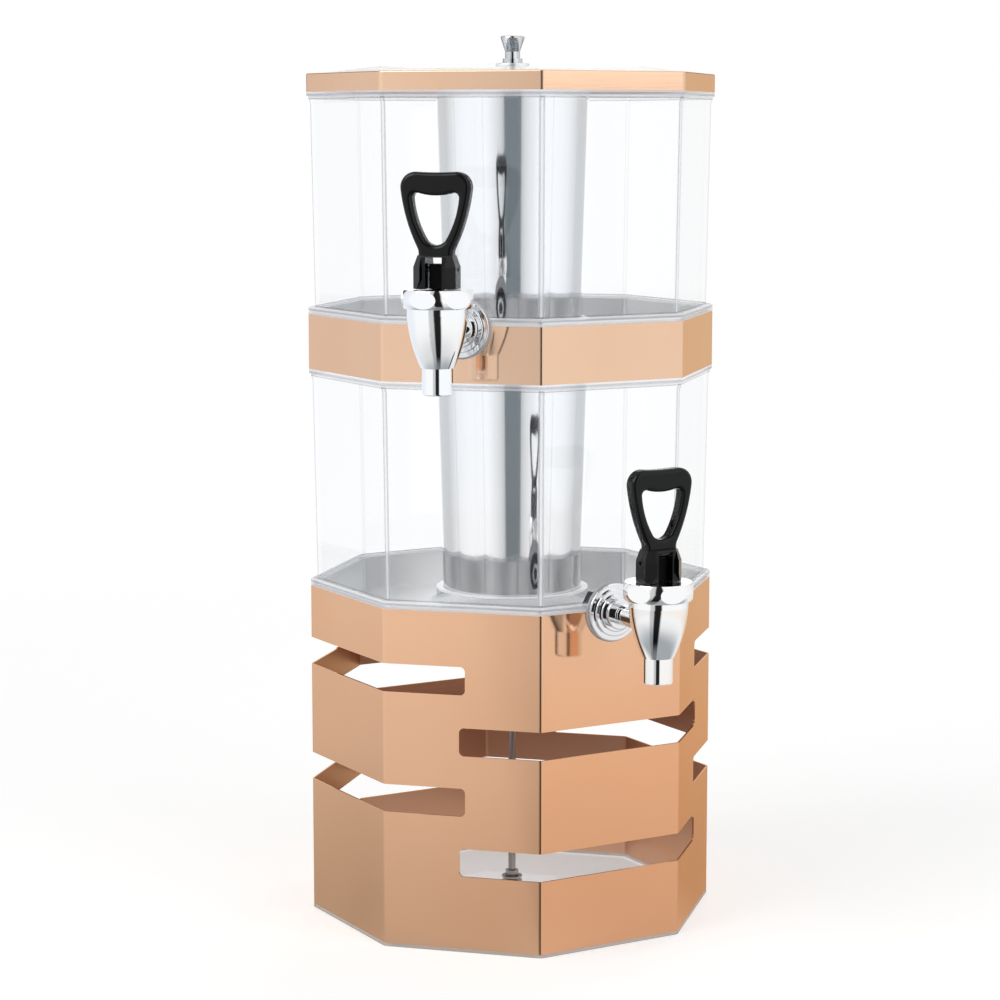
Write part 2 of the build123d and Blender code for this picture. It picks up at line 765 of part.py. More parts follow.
raised_across = hem_across - 2 * panel_clearance
skirt_across = tub_top_across - 2 * (tub_wall + skirt_clearance)
flange_foot = hem_foot - panel_flange
with BuildPart() as lid_panel:
    with BuildSketch(Plane.XY.offset(flange_foot)):
        octagon(across_flats - 2 * (sheet + panel_clearance), bend_radius - sheet)
    extrude(amount=panel_flange)
    with BuildSketch(Plane.XY.offset(flange_foot)):
        octagon(raised_across, bend_radius)
    extrude(amount=panel_flange + sheet)
    with BuildSketch(Plane.XY.offset(lid_edge)):
        octagon(raised_across, bend_radius)
    with BuildSketch(Plane.XY.offset(plateau)):
        octagon(plateau_across, bend_radius)
    loft(ruled=True)
    with BuildSketch(Plane.XY.offset(flange_foot)):
        octagon(skirt_across, tub_corner)
    extrude(amount=-(flange_foot - lid_foot + skirt_drop))
    with BuildSketch(Plane.XY.offset(lid_foot - skirt_drop)):
        octagon(skirt_across - 2 * skirt_wall, tub_corner - skirt_wall)
    extrude(amount=lid_edge - panel_flange - lid_foot + skirt_drop, mode=Mode.SUBTRACT)
    with BuildSketch(Plane.XY.offset(lid_edge - panel_flange)):
        octagon(skirt_across - 2 * skirt_wall, tub_corner - skirt_wall)
    with BuildSketch(Plane.XY.offset(plateau - panel_flange)):
        octagon(plateau_across, bend_radius)
    loft(ruled=True, mode=Mode.SUBTRACT)
    with BuildSketch(Plane.XY.offset(plateau)):
        Circle(screw_hole)
    extrude(amount=-panel_flange, mode=Mode.SUBTRACT)
save(lid_panel, "lid_panel")

with BuildPart() as knob_flange:
    add(rounded_disc(Plane.XY.offset(plateau), knob_flange_radius, screw_hole, knob_flange_thickness))
save(knob_flange, "knob_flange")

knob_foot = plateau + knob_flange_thickness
with BuildPart() as lid_knob:
    with BuildSketch(Plane.XZ):
        with BuildLine():
            ring_height = knob_foot + knob_foot_height
            neck_height = knob_foot + knob_neck_height
            knob_top = knob_foot + knob_height
            Polyline((0, knob_foot), (knob_ring_radius, knob_foot), (knob_ring_radius, ring_height))
            Line((knob_ring_radius, ring_height), (knob_neck_radius, ring_height))
            Line((knob_neck_radius, ring_height), (knob_neck_radius, neck_height))
            Line((knob_neck_radius, neck_height), (knob_top_radius, knob_top))
            Polyline((knob_top_radius, knob_top), (0, knob_top), (0, knob_foot))
        make_face()
    revolve(axis=Axis.Z)
    fillet(lid_knob.edges().filter_by(GeomType.CIRCLE).group_by(Axis.Z)[-1], knob_edge_round)
    with BuildSketch(Plane.XY.offset(knob_foot)):
        Circle(screw_hole)
    extrude(amount=screw_grip, mode=Mode.SUBTRACT)
save(lid_knob, "lid_knob")

with BuildPart() as knob_screw:
    with BuildSketch(Plane.XY.offset(plateau - panel_flange)):
        Circle(screw_radius)
    extrude(amount=panel_flange + knob_flange_thickness + screw_grip)
    with BuildSketch(Plane.XY.offset(plateau - panel_flange)):
        Circle(screw_head_radius)
    extrude(amount=-screw_head_height)
save(knob_screw, "knob_screw")
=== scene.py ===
from math import cos, pi, radians, sin

import bmesh
import bpy
from mathutils import Matrix, Vector


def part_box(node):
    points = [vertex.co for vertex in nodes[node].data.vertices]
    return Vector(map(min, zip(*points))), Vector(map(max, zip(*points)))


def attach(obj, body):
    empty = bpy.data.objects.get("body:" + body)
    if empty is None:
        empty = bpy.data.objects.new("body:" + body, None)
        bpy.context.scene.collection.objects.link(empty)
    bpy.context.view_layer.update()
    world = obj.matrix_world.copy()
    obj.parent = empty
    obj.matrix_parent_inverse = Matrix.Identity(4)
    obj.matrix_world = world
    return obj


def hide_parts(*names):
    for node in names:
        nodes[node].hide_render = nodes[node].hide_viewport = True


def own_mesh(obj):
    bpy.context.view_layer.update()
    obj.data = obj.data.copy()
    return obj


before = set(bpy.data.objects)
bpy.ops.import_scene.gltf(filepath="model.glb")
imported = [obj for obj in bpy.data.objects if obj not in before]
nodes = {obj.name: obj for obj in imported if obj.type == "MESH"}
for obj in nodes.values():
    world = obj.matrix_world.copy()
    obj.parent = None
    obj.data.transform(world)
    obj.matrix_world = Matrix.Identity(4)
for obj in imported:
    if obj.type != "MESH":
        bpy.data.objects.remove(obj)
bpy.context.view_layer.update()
scene = bpy.context.scene
white = (1.0, 1.0, 1.0, 1.0)
black = (0.0, 0.0, 0.0, 1.0)
bumpDepth = 0.0001


class Wire:
    # holds one socket, so that shader sums read as plain Python
    def __init__(self, tree, socket=None):
        self.tree = tree
        self.socket = socket

    def put(self, kind, settings=None, feeds=None, out=None):
        # any node: its settings first, then what each socket holds or takes
        node = self.tree.nodes.new(kind)
        for name, value in (settings or {}).items():
            if name == "stops":
                elements = node.color_ramp.elements
                while len(elements) < len(value):
                    elements.new(1.0)
                for element, (place, colour) in zip(elements, value):
                    element.position = place
                    element.color = colour
            else:
                setattr(node, name, value)
        for name, value in (feeds or {}).items():
            if isinstance(name, int):
                socket = node.inputs[name]
            else:
                socket = next(s for s in node.inputs if s.enabled and s.name == name)
            if isinstance(value, Wire):
                self.tree.links.new(value.socket, socket)
            else:
                socket.default_value = value
        outs = [s for s in node.outputs if s.enabled and out in (None, s.name)]
        return Wire(self.tree, outs[0] if outs else None)

    def sum(self, operation, *terms):
        return self.put("ShaderNodeMath", {"operation": operation}, dict(enumerate(terms)))

    def __add__(self, other):
        return self.sum("ADD", self, other)

    def __sub__(self, other):
        return self.sum("SUBTRACT", self, other)

    def __rsub__(self, other):
        return self.sum("SUBTRACT", other, self)

    def __mul__(self, other):
        return self.sum("MULTIPLY", self, other)

    def __truediv__(self, other):
        return self.sum("DIVIDE", self, other)

    def __rtruediv__(self, other):
        return self.sum("DIVIDE", other, self)

    __radd__ = __add__
    __rmul__ = __mul__

    def rise(self, low, high):  # smooth 0 to 1 between two values
        return self.put("ShaderNodeMapRange", {"interpolation_type": "SMOOTHSTEP"},
                        {"Value": self, "From Min": low, "From Max": high})

    def band(self, low, full, wane, high):  # smooth 0 to 1 and back to 0
        return self.rise(low, full) * (1.0 - self.rise(wane, high))

    def mixColour(self, first, second, blend="MIX"):  # this socket is the share of the second
        return self.put("ShaderNodeMix", {"data_type": "RGBA", "blend_type": blend},
                        {"Factor": self, "A": first, "B": second}, "Result")


def opaque(colour):
    return (*colour, 1.0)


def fromLevel(level, steps):
    return [level + step for step in steps]


def newFinish(name):
    material = bpy.data.materials.new(name)
    material.use_nodes = True
    material.node_tree.nodes.clear()
    return material, Wire(material.node_tree)


def closeFinish(start, shader):
    start.put("ShaderNodeOutputMaterial", None, {"Surface": shader})


def principled(start, feeds):
    return start.put("ShaderNodeBsdfPrincipled", None, feeds)


def objectPlace(start):
    return start.put("ShaderNodeTexCoord", out="Object")


def vectorSum(start, operation, *terms, out="Value"):
    return start.put("ShaderNodeVectorMath", {"operation": operation}, dict(enumerate(terms)), out)


def splitPlace(start, place):
    return {axis: start.put("ShaderNodeSeparateXYZ", None, {"Vector": place}, axis) for axis in "XYZ"}


def axisReach(start, parts):
    return start.sum("SQRT", parts["X"] * parts["X"] + parts["Y"] * parts["Y"])


def largest(start, *terms):
    result = terms[0]
    for term in terms[1:]:
        result = start.sum("MAXIMUM", result, term)
    return result


def grain(start, scale, detail):
    # noise on the piece's own coordinates, stretched by a scale for each axis
    laid = start.put("ShaderNodeMapping", None, {"Vector": objectPlace(start), "Scale": scale})
    return start.put("ShaderNodeTexNoise", None, {"Vector": laid, "Scale": 1.0, "Detail": detail}, "Fac")


def relief(start, strength, height):
    return start.put("ShaderNodeBump", None, {"Strength": strength, "Distance": bumpDepth, "Height": height})


def flatRadius(start):
    # distance from the axis to the octagon that a point lies on
    place = objectPlace(start)
    across = []
    for turn in range(4):
        square = (cos(pi * turn / 4), sin(pi * turn / 4), 0.0)
        across.append(start.sum("ABSOLUTE", vectorSum(start, "DOT_PRODUCT", place, square)))
    return largest(start, *across)


def dress(material, *names):
    for name in names:
        mesh = nodes[name].data
        mesh.materials.clear()
        mesh.materials.append(material)


def bothTiers(*names):
    return [tier + name for tier in ("lower_", "upper_") for name in names]


# rose copper sheet of the sleeve; a pattern's scales for each axis come with its detail
copperSheet = {
    "colour": (0.88, 0.54, 0.345),
    "deep": (0.81, 0.46, 0.275),
    "side": (0.96, 0.79, 0.62),  # keeps the colour deep where the sheet is seen from the side
    "inside": (0.52, 0.3, 0.2),  # the back of the sheet, painted darker brown: painted shade inside the sleeve
    "insideRough": 0.25,
    "back": (-0.0009, -0.0006),  # depth in the sheet over which the back gives way to the finish
    "gloss": 0.03,
    "haze": 0.25,  # share of the gloss that is dull
    "dull": 0.42,
    "cloud": ((7.0, 7.0, 5.0), 3.0),
    "cloudRange": (0.35, 0.7),
    "cloudShare": 0.45,
    "cloudRough": 0.015,
    "hair": ((22.0, 22.0, 2600.0), 2.0),  # rolling lines run round the sheet
    "hairRange": (0.35, 0.75),
    "hairShare": 0.2,
    "hairRough": 0.02,
    "hairRelief": 0.06,
    "nodes": ["base_sleeve"],
}

# the two bands come out a little paler and pinker
copperBand = {
    **copperSheet,
    "colour": (0.89, 0.605, 0.425),
    "deep": (0.825, 0.52, 0.345),
    "nodes": ["mid_band", "lid_band"],
}


def copperFinish(spec, name):
    material, start = newFinish(name + "Copper")
    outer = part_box(name)[1].x  # the octagon's flat on +X
    inside = 1.0 - flatRadius(start).rise(*fromLevel(outer, spec["back"]))
    cloud = grain(start, *spec["cloud"])
    hair = grain(start, *spec["hair"])
    mottle = cloud.rise(*spec["cloudRange"]) * spec["cloudShare"] + hair * spec["hairShare"]
    colour = mottle.mixColour(opaque(spec["colour"]), opaque(spec["deep"]))
    # the back face takes the darker brown, painted shade inside the sleeve
    colour = inside.mixColour(colour, opaque(spec["inside"]))
    rough = spec["gloss"] + hair.rise(*spec["hairRange"]) * spec["hairRough"]
    rough = rough + cloud * spec["cloudRough"] + inside * spec["insideRough"]
    feeds = {
        "Base Color": colour,
        "Metallic": 1.0,
        "Specular Tint": opaque(spec["side"]),
        "Normal": relief(start, spec["hairRelief"], hair),
    }
    sharp = principled(start, {**feeds, "Roughness": rough})
    dull = principled(start, {**feeds, "Roughness": spec["dull"]})
    closeFinish(start, start.put("ShaderNodeMixShader", None, {0: spec["haze"], 1: sharp, 2: dull}))
    return material


for spec in (copperSheet, copperBand):
    for name in spec["nodes"]:
        dress(copperFinish(spec, name), name)
print("copper sheet done")


# clear moulded plastic of the tubs, lid and trims: thin walls, with painted pale highlights along their
# corners and rims
clearMoulding = {
    "tint": (0.998, 0.999, 1.0),
    # pale: the colour of the painted highlights along corners, rims, crests and the ring's lips
    "pale": (0.95, 0.95, 0.97),
    "paintedShade": (0.5, 0.5, 0.56),  # painted shade along the lower half of a flange's edge
    "creaseShade": (0.2, 0.21, 0.23),  # painted dark shade where a wall meets a flange
    "sheen": (0.88, 0.93, 0.99),
    "glow": 0.22,  # painted glow of the pale marks, standing in for light that the walls lead to their edges
    "gloss": 0.02,
    "edgeRough": 0.3,
    "flow": ((9.0, 9.0, 4.0), 1.0),  # unevenness of the moulding
    "flowRange": (0.4, 0.75),
    "flowRough": 0.02,
    "facing": 0.02,  # share mirrored by a wall seen square on
    "grazing": 0.3,  # and added to it along the wall
    "grazingPower": 5.0,
    "corner": (0.011, 0.018),  # turn from a corner over which its lines fade
    "cornerCore": (0.004, 0.008),  # and over which its painted pale middle does
    "cornerShare": 0.62,
    "cornerFlow": 0.3,
    "backShare": 0.2,  # how much of it shows from behind, through the wall
    "outline": (0.7, 0.9),  # a wall turned this far away gets a painted grey shade line at its corner
    "outlineTurn": (0.012, 0.04),
    "outlineShare": 0.7,
    "rim": (-0.0013, -0.0009),  # depth of the painted pale rims, in from the flats
    "rimShare": 0.62,
    "creaseShare": 0.5,
    "ringReach": (0.0568, 0.0578),  # radius of the ring on the tub floor
    "ringShare": 0.24,
    "lipShare": 0.36,
    "tubs": bothTiers("tub"),
    "others": ["lid_panel", "sleeve_trim", "band_trim"],
    "crests": {"lid_panel": 0.0825},  # half width of a raised middle, where there is one, which gets a painted pale line
    "crest": (0.0004, 0.0008),
    "crestShare": 0.45,
}

# the tray's edge is seen in the shade of the sleeve
clearTray = {**clearMoulding, "pale": (0.38, 0.28, 0.22), "glow": 0.0, "others": ["base_tray"]}

# levels on a tub
tubLines = {
    "shoulderTop": 0.025,  # up from the foot
    "rimFoot": -0.0087,  # down from the top
    "wallFoot": 0.1228,  # from the axis to the outer wall, at the shoulder
    "wallTop": 0.1251,  # and at the rim
    "outside": (-0.00168, -0.00112),  # depth in the wall over which its outside begins
    "ringFoot": (0.003, 0.0045),  # up from the foot
    "ringLip": (0.0155, 0.016),
    "ringStep": (0.0552, 0.0555),  # from the axis
    "aboveShoulder": (-0.0002, 0.0001, 0.0006, 0.001),  # painted dark line above the shoulder's top
    "belowRim": (-0.0024, -0.002, -0.0013, -0.001),  # and below the rim's foot
    "shoulderShade": (-0.0014, -0.0008),  # below the shoulder's top
    "rimShade": (-0.0001, 0.0, 0.0013, 0.0017),  # above the rim's foot
}


def tubMarks(start, spec, lines, box, out, rim, facing, flow):
    # shares of a tub's painted pale highlights, and where they turn to painted grey or dark shade
    low, high = box
    parts = splitPlace(start, objectPlace(start))
    height = parts["Z"]
    foot, top = low.z + lines["shoulderTop"], high.z + lines["rimFoot"]
    slope = (lines["wallTop"] - lines["wallFoot"]) / (top - foot)
    depth = out - height * slope - (lines["wallFoot"] - foot * slope)  # in from the outer wall, which leans
    outer = depth.rise(*lines["outside"])
    wall = outer * (1.0 - rim)

    turn = start.sum("ARCTAN2", parts["Y"], parts["X"])
    turn = start.sum("ABSOLUTE", start.sum("WRAP", turn - pi / 8, pi / 8, -pi / 8))  # from the nearest corner
    beside = 1.0 - turn.rise(*spec["corner"])
    behind = start.put("ShaderNodeNewGeometry", out="Backfacing")
    corner = beside * outer * (spec["cornerShare"] + (flow - 0.5) * spec["cornerFlow"])
    corner = corner * (1.0 - behind * (1.0 - spec["backShare"]))
    core = turn.rise(*spec["cornerCore"]) * beside * wall
    outline = (1.0 - turn.rise(*spec["outlineTurn"])) * wall * facing.rise(*spec["outline"])

    # the ring on the tub floor: painted dark grey shade on its faces, painted pale highlights on its lips
    reach = axisReach(start, parts)
    within = (1.0 - reach.rise(*spec["ringReach"])) * height.rise(*fromLevel(low.z, lines["ringFoot"]))
    lip = height.rise(*fromLevel(low.z, lines["ringLip"])) + reach.rise(*lines["ringStep"])
    lip = start.sum("MINIMUM", lip, 1.0)
    ring = within * (spec["ringShare"] + lip * spec["lipShare"])

    above = height.band(*fromLevel(foot, lines["aboveShoulder"]))
    below = height.band(*fromLevel(top, lines["belowRim"]))
    creaseShade = (above + below) * wall
    lower = 1.0 - height.rise(*fromLevel(foot, lines["shoulderShade"]))
    lower = lower + height.band(*fromLevel(top, lines["rimShade"]))

    pale = largest(start, corner, ring, creaseShade * spec["creaseShare"], outline * spec["outlineShare"])
    paintedShade = largest(start, lower * rim, core, outline)
    dark = largest(start, creaseShade, within * (1.0 - lip))
    return pale, paintedShade, dark


def clearFinish(spec, name, lines=None):
    material, start = newFinish(name + "Clear")
    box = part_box(name)
    flow = grain(start, *spec["flow"])
    rough = spec["gloss"] + flow.rise(*spec["flowRange"]) * spec["flowRough"]
    out = flatRadius(start)
    rim = out.rise(*fromLevel(box[1].x, spec["rim"]))
    pale = rim * spec["rimShare"]
    colour = opaque(spec["pale"])
    facing = start.put("ShaderNodeLayerWeight", None, {"Blend": 0.5}, "Facing")
    if name in spec["crests"]:
        away = start.sum("ABSOLUTE", out - spec["crests"][name])
        pale = largest(start, pale, (1.0 - away.rise(*spec["crest"])) * spec["crestShare"])
    if lines:
        marks, paintedShade, dark = tubMarks(start, spec, lines, box, out, rim, facing, flow)
        pale = largest(start, pale, marks)
        colour = paintedShade.mixColour(colour, opaque(spec["paintedShade"]))
        colour = dark.mixColour(colour, opaque(spec["creaseShade"]))
    share = spec["facing"] + start.sum("POWER", facing, spec["grazingPower"]) * spec["grazing"]
    seeThrough = start.put("ShaderNodeBsdfTransparent", None, {"Color": opaque(spec["tint"])})
    mirror = principled(start, {"Base Color": opaque(spec["sheen"]), "Metallic": 1.0, "Roughness": rough})
    wall = start.put("ShaderNodeMixShader", None, {0: share, 1: seeThrough, 2: mirror})
    # painted highlights and shade lines on the clear plastic, which glow a little
    paintedMarks = principled(start, {
        "Base Color": colour,
        "Roughness": spec["edgeRough"],
        "Emission Color": colour,
        "Emission Strength": spec["glow"],
    })
    closeFinish(start, start.put("ShaderNodeMixShader", None, {0: pale, 1: wall, 2: paintedMarks}))
    return material


for name in clearMoulding["tubs"]:
    dress(clearFinish(clearMoulding, name, tubLines), name)
for spec in (clearMoulding, clearTray):
    for name in spec["others"]:
        dress(clearFinish(spec, name), name)
print("clear mouldings done")


# satin steel of the knob's screw and the handle pins, and of the coils below
satinSteel = {
    "name": "satinSteel",
    "colour": (0.84, 0.85, 0.86),
    "deep": (0.72, 0.73, 0.75),
    "gloss": 0.24,
    "lines": ((14.0, 1500.0, 1500.0), 2.0),
    "linesShare": 0.5,
    "linesRough": 0.12,
    "linesRelief": 0.1,
    "cloud": ((12.0, 12.0, 12.0), 3.0),
    "cloudRange": (0.4, 0.7),
    "cloudShare": 0.4,
    "nodes": ["knob_screw"] + bothTiers("faucet_handle_pin"),
}

# zinc-grey tie rod with its collar, nuts and washers
zincRod = {
    **satinSteel,
    "name": "zincSteel",
    "colour": (0.42, 0.41, 0.41),
    "deep": (0.3, 0.29, 0.29),
    "gloss": 0.28,
    "nodes": ["tie_rod", "rod_collar", "rod_nuts", "rod_washers"],
}

# pressed steel of the two pans, a little duller than the turned pieces
pressedPan = {
    **satinSteel,
    "name": "pressedSteel",
    "colour": (0.85, 0.845, 0.835),
    "deep": (0.785, 0.78, 0.77),
    "gloss": 0.26,
    "nodes": bothTiers("pan"),
}


def satinFinish(spec):
    material, start = newFinish(spec["name"])
    lines = grain(start, *spec["lines"])
    cloud = grain(start, *spec["cloud"])
    mottle = lines * spec["linesShare"] + cloud.rise(*spec["cloudRange"]) * spec["cloudShare"]
    closeFinish(start, principled(start, {
        "Base Color": mottle.mixColour(opaque(spec["colour"]), opaque(spec["deep"])),
        "Metallic": 1.0,
        "Roughness": spec["gloss"] + lines * spec["linesRough"],
        "Normal": relief(start, spec["linesRelief"], lines),
    }))
    return material


for spec in (satinSteel, zincRod, pressedPan):
    dress(satinFinish(spec), *spec["nodes"])
print("satin steel done")


# coil springs in the bonnets, which push the stems down; the real springs flatten as the stems lift, these
# keep one length
coilSpring = {
    "wire": 0.001,
    "sides": 8,
    "turns": 6,
    "steps": 20,  # to a turn
    "room": 0.0003,  # left free at each end
    "lift": 0.0044,  # of the stem
    "bodies": {"lower": "base", "upper": "upper_tier"},
    "slot": "steel",
}


def coilPiece(spec, tier, material):
    node = tier + "_faucet_spring"
    low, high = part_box(node)
    middle = (low + high) / 2
    length = high.z - low.z
    thick = spec["wire"] / 2
    steps = spec["turns"] * spec["steps"]
    climb = (length - 2 * (thick + spec["room"])) / steps
    shape = bmesh.new()
    place = Matrix.Translation((high.x - thick, middle.y, low.z + thick + spec["room"]))
    upright = Matrix.Rotation(pi / 2, 4, "X")
    bmesh.ops.create_circle(shape, segments=spec["sides"], radius=thick, matrix=place @ upright)
    bmesh.ops.spin(
        shape, geom=shape.verts[:] + shape.edges[:], cent=middle, axis=(0.0, 0.0, 1.0),
        dvec=(0.0, 0.0, climb), angle=2 * pi * spec["turns"], steps=steps)
    bmesh.ops.holes_fill(shape, edges=shape.edges[:], sides=spec["sides"])
    bmesh.ops.recalc_face_normals(shape, faces=shape.faces[:])
    for face in shape.faces:
        face.smooth = len(face.verts) == 4
    mesh = bpy.data.meshes.new(tier + "Coil")
    shape.to_mesh(mesh)
    shape.free()
    mesh.materials.append(material)
    piece = bpy.data.objects.new(tier + "Coil", mesh)
    scene.collection.objects.link(piece)
    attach(piece, spec["bodies"][tier])
    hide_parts(node)
    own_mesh(piece)


for tier in coilSpring["bodies"]:
    coilPiece(coilSpring, tier, bpy.data.materials[satinSteel["name"]])
print("coil springs done")


# polished steel of the two ice tubes, with faint drawing lines
iceTube = {
    "colour": (0.693, 0.696, 0.704),
    "deep": (0.657, 0.664, 0.675),
    "bore": (0.92, 0.925, 0.935),  # brighter: painted light, standing in for the light lost at each bounce in it
    "spread": 0.0048,  # taper from the top radius to the foot
    "wall": (0.0003, 0.0006),  # depth at which the outside ends and the bore begins
    "gloss": 0.06,
    "lines": ((900.0, 900.0, 5.0), 2.0),
    "linesRange": (0.4, 0.8),
    "linesShare": 0.4,
    "linesRough": 0.06,
    "cloud": ((10.0, 10.0, 6.0), 2.0),
    "cloudShare": 0.4,
    "nodes": bothTiers("ice_tube"),
}


def tubeFinish(spec, name):
    material, start = newFinish(name + "Steel")
    low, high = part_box(name)
    lines = grain(start, *spec["lines"])
    cloud = grain(start, *spec["cloud"])
    mottle = lines * spec["linesShare"] + cloud * spec["cloudShare"]
    colour = mottle.mixColour(opaque(spec["colour"]), opaque(spec["deep"]))
    parts = splitPlace(start, objectPlace(start))
    outer = high.x - (high.z - parts["Z"]) * (spec["spread"] / (high.z - low.z))
    depth = outer - axisReach(start, parts)
    closeFinish(start, principled(start, {
        "Base Color": depth.rise(*spec["wall"]).mixColour(colour, opaque(spec["bore"])),
        "Metallic": 1.0,
        "Roughness": spec["gloss"] + lines.rise(*spec["linesRange"]) * spec["linesRough"],
    }))
    return material


for name in iceTube["nodes"]:
    dress(tubeFinish(iceTube, name), name)
print("ice tubes done")


# chrome plating of the faucets
chromePlate = {
    "name": "chromePlate",
    "colour": (0.945, 0.948, 0.95),
    "gloss": 0.025,
    "haze": ((60.0, 60.0, 60.0), 4.0),
    "hazeRange": (0.5, 0.8),
    "hazeRough": 0.02,
    "speck": ((900.0, 900.0, 900.0), 1.0),
    "speckRange": (0.68, 0.78),
    "speckRough": 0.05,
    "nodes": bothTiers("faucet_body", "faucet_bonnet"),
}

# painted shade: the same chrome, a shade greyer on the pieces against the wall
wallPlate = {
    **chromePlate,
    "name": "wallPlate",
    "colour": (0.8, 0.81, 0.83),
    "nodes": bothTiers("faucet_escutcheon", "faucet_collar_nut"),
}

# greyer and softer again on the lid's knob
softPlate = {
    **chromePlate,
    "name": "softPlate",
    "colour": (0.6, 0.62, 0.63),
    "gloss": 0.09,
    "nodes": ["lid_knob", "knob_flange"],
}


def chromeFinish(spec):
    material, start = newFinish(spec["name"])
    haze = grain(start, *spec["haze"]).rise(*spec["hazeRange"])
    speck = grain(start, *spec["speck"]).rise(*spec["speckRange"])
    closeFinish(start, principled(start, {
        "Base Color": opaque(spec["colour"]),
        "Metallic": 1.0,
        "Roughness": spec["gloss"] + haze * spec["hazeRough"] + speck * spec["speckRough"],
    }))
    return material


for spec in (chromePlate, wallPlate, softPlate):
    dress(chromeFinish(spec), *spec["nodes"])
print("chrome done")


# glossy black handles and lock nuts
blackGrip = {
    "name": "blackGrip",
    "colour": (0.003, 0.0032, 0.0036),
    "worn": (0.007, 0.0074, 0.008),
    "gloss": 0.1,
    "shine": 0.25,
    "cloud": ((55.0, 55.0, 55.0), 3.0),
    "cloudRange": (0.45, 0.75),
    "cloudShare": 0.5,
    "cloudRough": 0.08,
    "peel": ((700.0, 700.0, 700.0), 2.0),
    "peelRelief": 0.08,
    "nodes": bothTiers("faucet_handle", "faucet_lock_nut"),
}

# the stems are matt
blackStem = {
    **blackGrip,
    "name": "blackStem",
    "gloss": 0.35,
    "shine": 0.05,
    "nodes": bothTiers("faucet_stem"),
}


def gripFinish(spec):
    material, start = newFinish(spec["name"])
    cloud = grain(start, *spec["cloud"])
    peel = grain(start, *spec["peel"])
    worn = cloud.rise(*spec["cloudRange"]) * spec["cloudShare"]
    closeFinish(start, principled(start, {
        "Base Color": worn.mixColour(opaque(spec["colour"]), opaque(spec["worn"])),
        "Roughness": spec["gloss"] + cloud * spec["cloudRough"],
        "Specular IOR Level": spec["shine"],
        "Normal": relief(start, spec["peelRelief"], peel),
    }))
    return material


for spec in (blackGrip, blackStem):
    dress(gripFinish(spec), *spec["nodes"])
print("grips done")


# rubber of the inner washers, bonnet seals and seat plugs
sealRubber = {
    "name": "sealRubber",
    "colour": (0.022, 0.022, 0.023),
    "dusty": (0.05, 0.05, 0.05),
    "rough": 0.62,
    "cloud": ((160.0, 160.0, 160.0), 4.0),
    "cloudRange": (0.45, 0.8),
    "cloudRough": 0.2,
    "fine": ((1500.0, 1500.0, 1500.0), 2.0),
    "fineRelief": 0.3,
    "nodes": bothTiers("faucet_inner_washer", "faucet_bonnet_seal", "faucet_seat_plug"),
}

# pale silicone of the washers behind the escutcheons
paleSeal = {
    **sealRubber,
    "name": "paleSeal",
    "colour": (0.6, 0.61, 0.63),
    "dusty": (0.7, 0.71, 0.73),
    "rough": 0.3,
    "nodes": bothTiers("faucet_outer_washer"),
}


def rubberFinish(spec):
    material, start = newFinish(spec["name"])
    cloud = grain(start, *spec["cloud"])
    fine = grain(start, *spec["fine"])
    dust = cloud.rise(*spec["cloudRange"])
    closeFinish(start, principled(start, {
        "Base Color": dust.mixColour(opaque(spec["colour"]), opaque(spec["dusty"])),
        "Roughness": spec["rough"] + cloud * spec["cloudRough"],
        "Normal": relief(start, spec["fineRelief"], fine),
    }))
    return material


for spec in (sealRubber, paleSeal):
    dress(rubberFinish(spec), *spec["nodes"])
print("rubber done")


# camera at the photograph's viewing angle
viewpoint = {
    "lens": 96.95,
    "place": (0.4589, -1.7527, 0.5302),
    "tilt": 82.105,
    "turn": 14.935,
    "clipEnd": 60.0,
}

lensData = bpy.data.cameras.new("viewpoint")
lensData.lens = viewpoint["lens"]
lensData.clip_end = viewpoint["clipEnd"]
cameraPiece = bpy.data.objects.new("viewpoint", lensData)
cameraPiece.location = viewpoint["place"]
cameraPiece.rotation_euler = (radians(viewpoint["tilt"]), 0.0, radians(viewpoint["turn"]))
scene.collection.objects.link(cameraPiece)
scene.camera = cameraPiece

